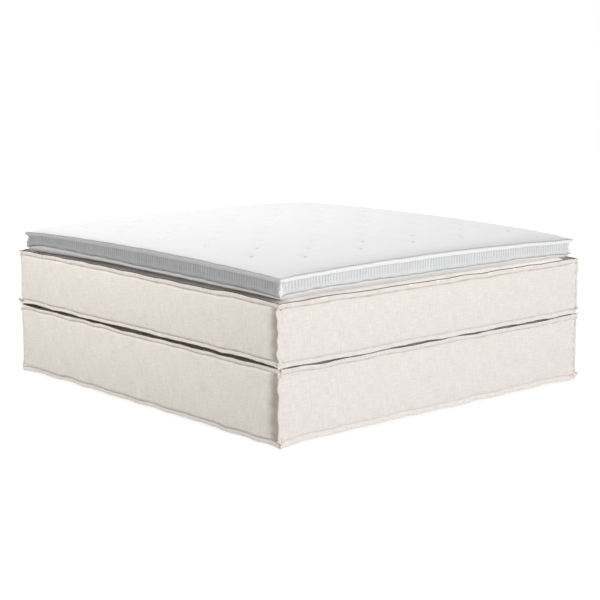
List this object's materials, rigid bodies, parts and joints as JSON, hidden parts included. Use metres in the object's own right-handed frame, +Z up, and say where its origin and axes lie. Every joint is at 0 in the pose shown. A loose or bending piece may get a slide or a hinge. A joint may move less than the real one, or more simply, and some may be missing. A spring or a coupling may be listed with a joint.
{
  "type": "box spring bed",
  "caption": "Double box spring bed: a sprung base and a mattress in loose linen covers with flanged seams, and a tufted topper that lifts off.",
  "frame": {"origin": "on the floor under the middle of the bed, at the bottom centre of its box", "axes": "+Z up, +Y towards the head end, -Y towards the foot end, X across the bed with +X to the right seen from the foot end"},
  "size_m": [2.0314, 2.1314, 0.7978],
  "materials": {
    "linen": "matte",
    "ticking": "matte",
    "mesh_border": "matte",
    "foam": "matte",
    "felt": "matte",
    "pocket_cloth": "matte",
    "pine": "matte",
    "glide": "matte",
    "dust_cloth": "matte",
    "zip_tape": "matte",
    "zip_metal": "satin"
  },
  "bodies": {
    "base": {"base_corner_block_foot_left": "pine", "base_corner_block_foot_right": "pine", "base_corner_block_head_left": "pine", "base_corner_block_head_right": "pine", "base_cover_foot": "linen", "base_cover_head": "linen", "base_cover_left": "linen", "base_cover_right": "linen", "base_cover_top": "linen", "base_dust_cloth": "dust_cloth", "base_edge_foam_foot": "foam", "base_edge_foam_head": "foam", "base_edge_foam_left": "foam", "base_edge_foam_right": "foam", "base_felt_pad": "felt", "base_foam_pad": "foam", "base_glide_foot_left": "glide", "base_glide_foot_middle": "glide", "base_glide_foot_right": "glide", "base_glide_head_left": "glide", "base_glide_head_middle": "glide", "base_glide_head_right": "glide", "base_rail_centre": "pine", "base_rail_foot": "pine", "base_rail_head": "pine", "base_rail_left": "pine", "base_rail_right": "pine", "base_slat_1": "pine", "base_slat_2": "pine", "base_slat_3": "pine", "base_slat_4": "pine", "base_slat_5": "pine", "base_slat_6": "pine", "base_slat_7": "pine", "base_slat_8": "pine", "base_spring_unit": "pocket_cloth"},
    "mattress": {"mattress_comfort_bottom": "foam", "mattress_comfort_top": "foam", "mattress_cover_bottom": "linen", "mattress_cover_foot": "linen", "mattress_cover_head": "linen", "mattress_cover_left": "linen", "mattress_cover_right": "linen", "mattress_cover_top": "linen", "mattress_edge_foam_foot": "foam", "mattress_edge_foam_head": "foam", "mattress_edge_foam_left": "foam", "mattress_edge_foam_right": "foam", "mattress_spring_core": "pocket_cloth", "mattress_zip_chain": "zip_tape"},
    "topper": {"topper_border_foot": "mesh_border", "topper_border_head": "mesh_border", "topper_border_left": "mesh_border", "topper_border_right": "mesh_border", "topper_core": "foam", "topper_cover_bottom": "ticking", "topper_quilted_top": "ticking", "topper_zip_chain": "zip_tape"},
    "mattress_zip": {"mattress_zip_slider": "zip_metal"},
    "topper_zip": {"topper_zip_slider": "zip_metal"}
  },
  "joints": [
    {"name": "mattress_lift", "type": "slide", "parent": "base", "child": "mattress", "axis": [0, 0, 1], "range_m": [0, 0.35]},
    {"name": "topper_lift", "type": "slide", "parent": "mattress", "child": "topper", "axis": [0, 0, 1], "range_m": [0, 0.35]},
    {"name": "mattress_zip_slide", "type": "slide", "parent": "mattress", "child": "mattress_zip", "axis": [-1, 0, 0], "range_m": [0, 1.538]},
    {"name": "topper_zip_slide", "type": "slide", "parent": "topper", "child": "topper_zip", "axis": [-1, 0, 0], "range_m": [0, 1.5]}
  ]
}
